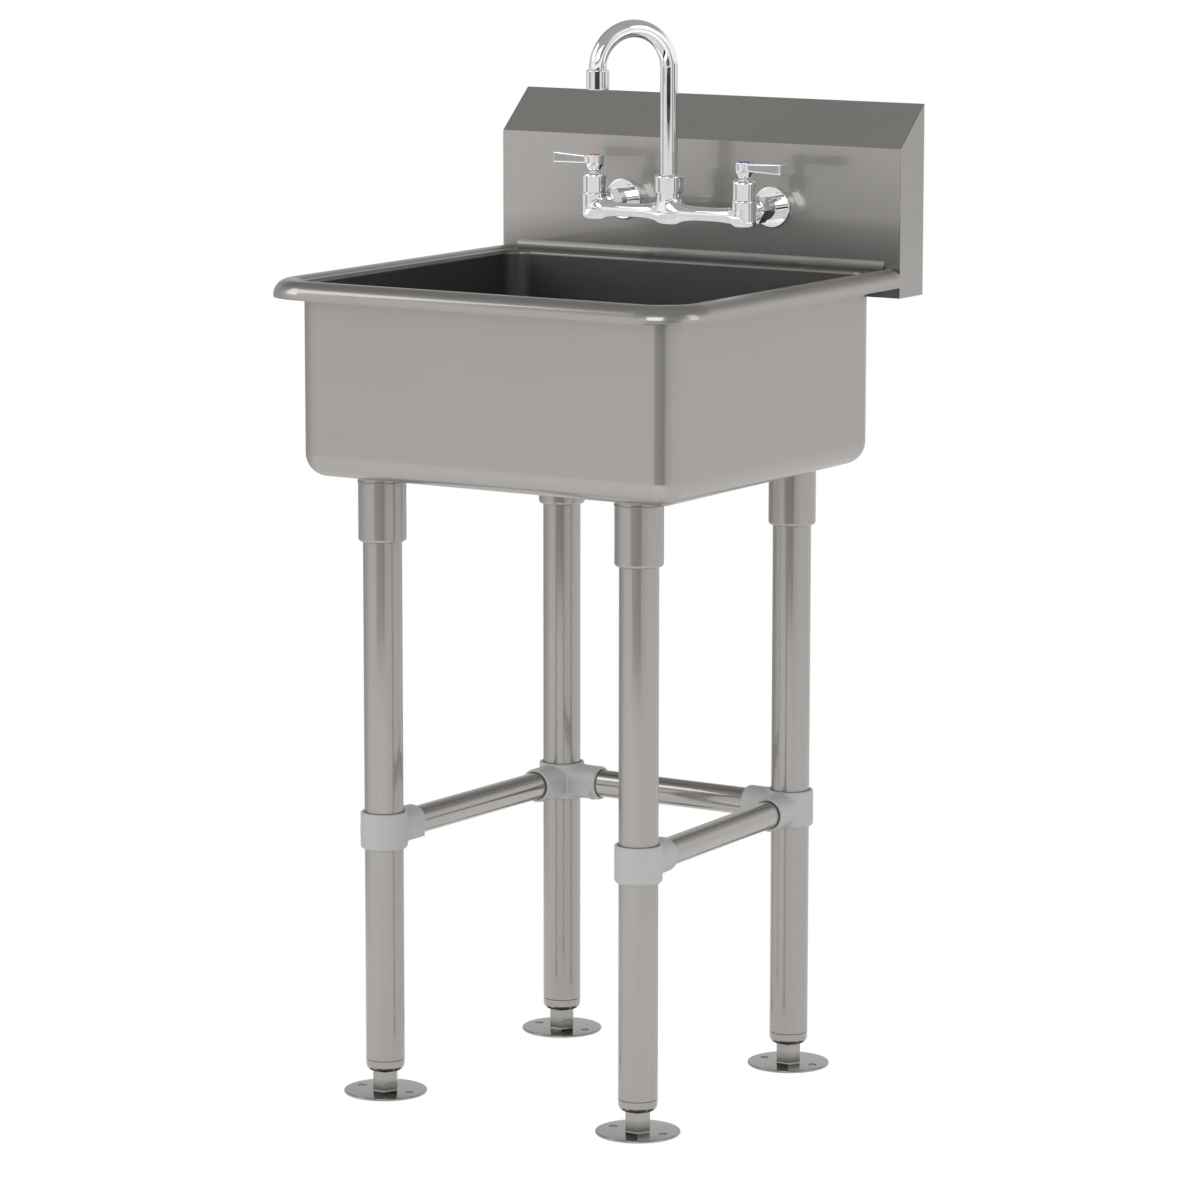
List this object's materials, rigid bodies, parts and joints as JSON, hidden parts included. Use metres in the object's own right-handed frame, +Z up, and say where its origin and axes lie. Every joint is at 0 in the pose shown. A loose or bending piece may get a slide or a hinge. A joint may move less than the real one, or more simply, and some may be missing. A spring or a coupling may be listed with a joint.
{
  "type": "freestanding hand sink",
  "caption": "Freestanding stainless hand sink with rolled rim, tall splash, braced tube legs on adjustable flanged feet, and a two-lever gooseneck tap.",
  "frame": {"origin": "on the floor, at the middle of the sink's width and depth", "axes": "+X to the right as seen by the user, +Y to the wall behind the splash, +Z up"},
  "size_m": [0.524, 0.5152, 1.133],
  "materials": {
    "steel_sheet": "brushed, satin",
    "steel_tube": "brushed tube",
    "steel_turned": "turned, smooth",
    "steel_drain": "fine satin",
    "screw_steel": "dark, plain",
    "cast_grey": "matte cast, light grey",
    "chrome": "mirror polish",
    "brass": "machined",
    "rubber": "matte black",
    "index_red": "gloss red",
    "index_blue": "gloss blue"
  },
  "bodies": {
    "frame": {"bowl": "steel_sheet", "rolled_rim": "steel_sheet", "splash": "steel_sheet", "splash_cap_left": "steel_sheet", "splash_cap_right": "steel_sheet", "socket_front_left": "steel_tube", "socket_front_right": "steel_tube", "socket_rear_left": "steel_tube", "socket_rear_right": "steel_tube", "socket_screws": "screw_steel", "leg_front_left": "steel_tube", "leg_front_right": "steel_tube", "leg_rear_left": "steel_tube", "leg_rear_right": "steel_tube", "foot_plug_front_left": "steel_turned", "foot_plug_front_right": "steel_turned", "foot_plug_rear_left": "steel_turned", "foot_plug_rear_right": "steel_turned", "tee_front_left": "cast_grey", "tee_front_right": "cast_grey", "corner_rear_left": "cast_grey", "corner_rear_right": "cast_grey", "rail_left": "steel_tube", "rail_right": "steel_tube", "rail_rear": "steel_tube", "fitting_screws": "screw_steel", "tap_body": "chrome", "coupling_nut_left": "chrome", "coupling_nut_right": "chrome", "shank_left": "brass", "shank_right": "brass", "wall_flange_left": "chrome", "wall_flange_right": "chrome", "lock_nut_left": "brass", "lock_nut_right": "brass", "cartridge_left": "brass", "cartridge_right": "brass", "bonnet_left": "chrome", "bonnet_right": "chrome", "spout_nut": "chrome", "spout_seal": "rubber", "drain_body": "steel_drain", "drain_gasket": "rubber", "drain_nut": "brass"},
    "spout_arm": {"spout": "chrome", "aerator": "chrome"},
    "lever_left": {"lever_left": "chrome", "stem_left": "chrome", "handle_screw_left": "screw_steel", "index_left": "index_red"},
    "lever_right": {"lever_right": "chrome", "stem_right": "chrome", "handle_screw_right": "screw_steel", "index_right": "index_blue"},
    "foot_front_left": {"foot_front_left": "steel_turned"},
    "foot_front_right": {"foot_front_right": "steel_turned"},
    "foot_rear_left": {"foot_rear_left": "steel_turned"},
    "foot_rear_right": {"foot_rear_right": "steel_turned"},
    "strainer": {"strainer": "steel_drain"}
  },
  "joints": [
    {"name": "spout_swivel", "type": "hinge", "parent": "frame", "child": "spout_arm", "pos_m": [0, 0.14685, 0.959], "axis": [0, 0, 1], "range_deg": [-58, 122]},
    {"name": "hot_lever_turn", "type": "hinge", "parent": "frame", "child": "lever_left", "pos_m": [-0.094, 0.14685, 0.967], "axis": [0, 0, 1], "range_deg": [0, 90]},
    {"name": "cold_lever_turn", "type": "hinge", "parent": "frame", "child": "lever_right", "pos_m": [0.094, 0.14685, 0.967], "axis": [0, 0, 1], "range_deg": [-90, 0]},
    {"name": "foot_front_left_level", "type": "slide", "parent": "frame", "child": "foot_front_left", "axis": [0, 0, -1], "range_m": [0, 0.025]},
    {"name": "foot_front_right_level", "type": "slide", "parent": "frame", "child": "foot_front_right", "axis": [0, 0, -1], "range_m": [0, 0.025]},
    {"name": "foot_rear_left_level", "type": "slide", "parent": "frame", "child": "foot_rear_left", "axis": [0, 0, -1], "range_m": [0, 0.025]},
    {"name": "foot_rear_right_level", "type": "slide", "parent": "frame", "child": "foot_rear_right", "axis": [0, 0, -1], "range_m": [0, 0.025]},
    {"name": "strainer_lift", "type": "slide", "parent": "frame", "child": "strainer", "axis": [0, 0, 1], "range_m": [0, 0.21]}
  ]
}
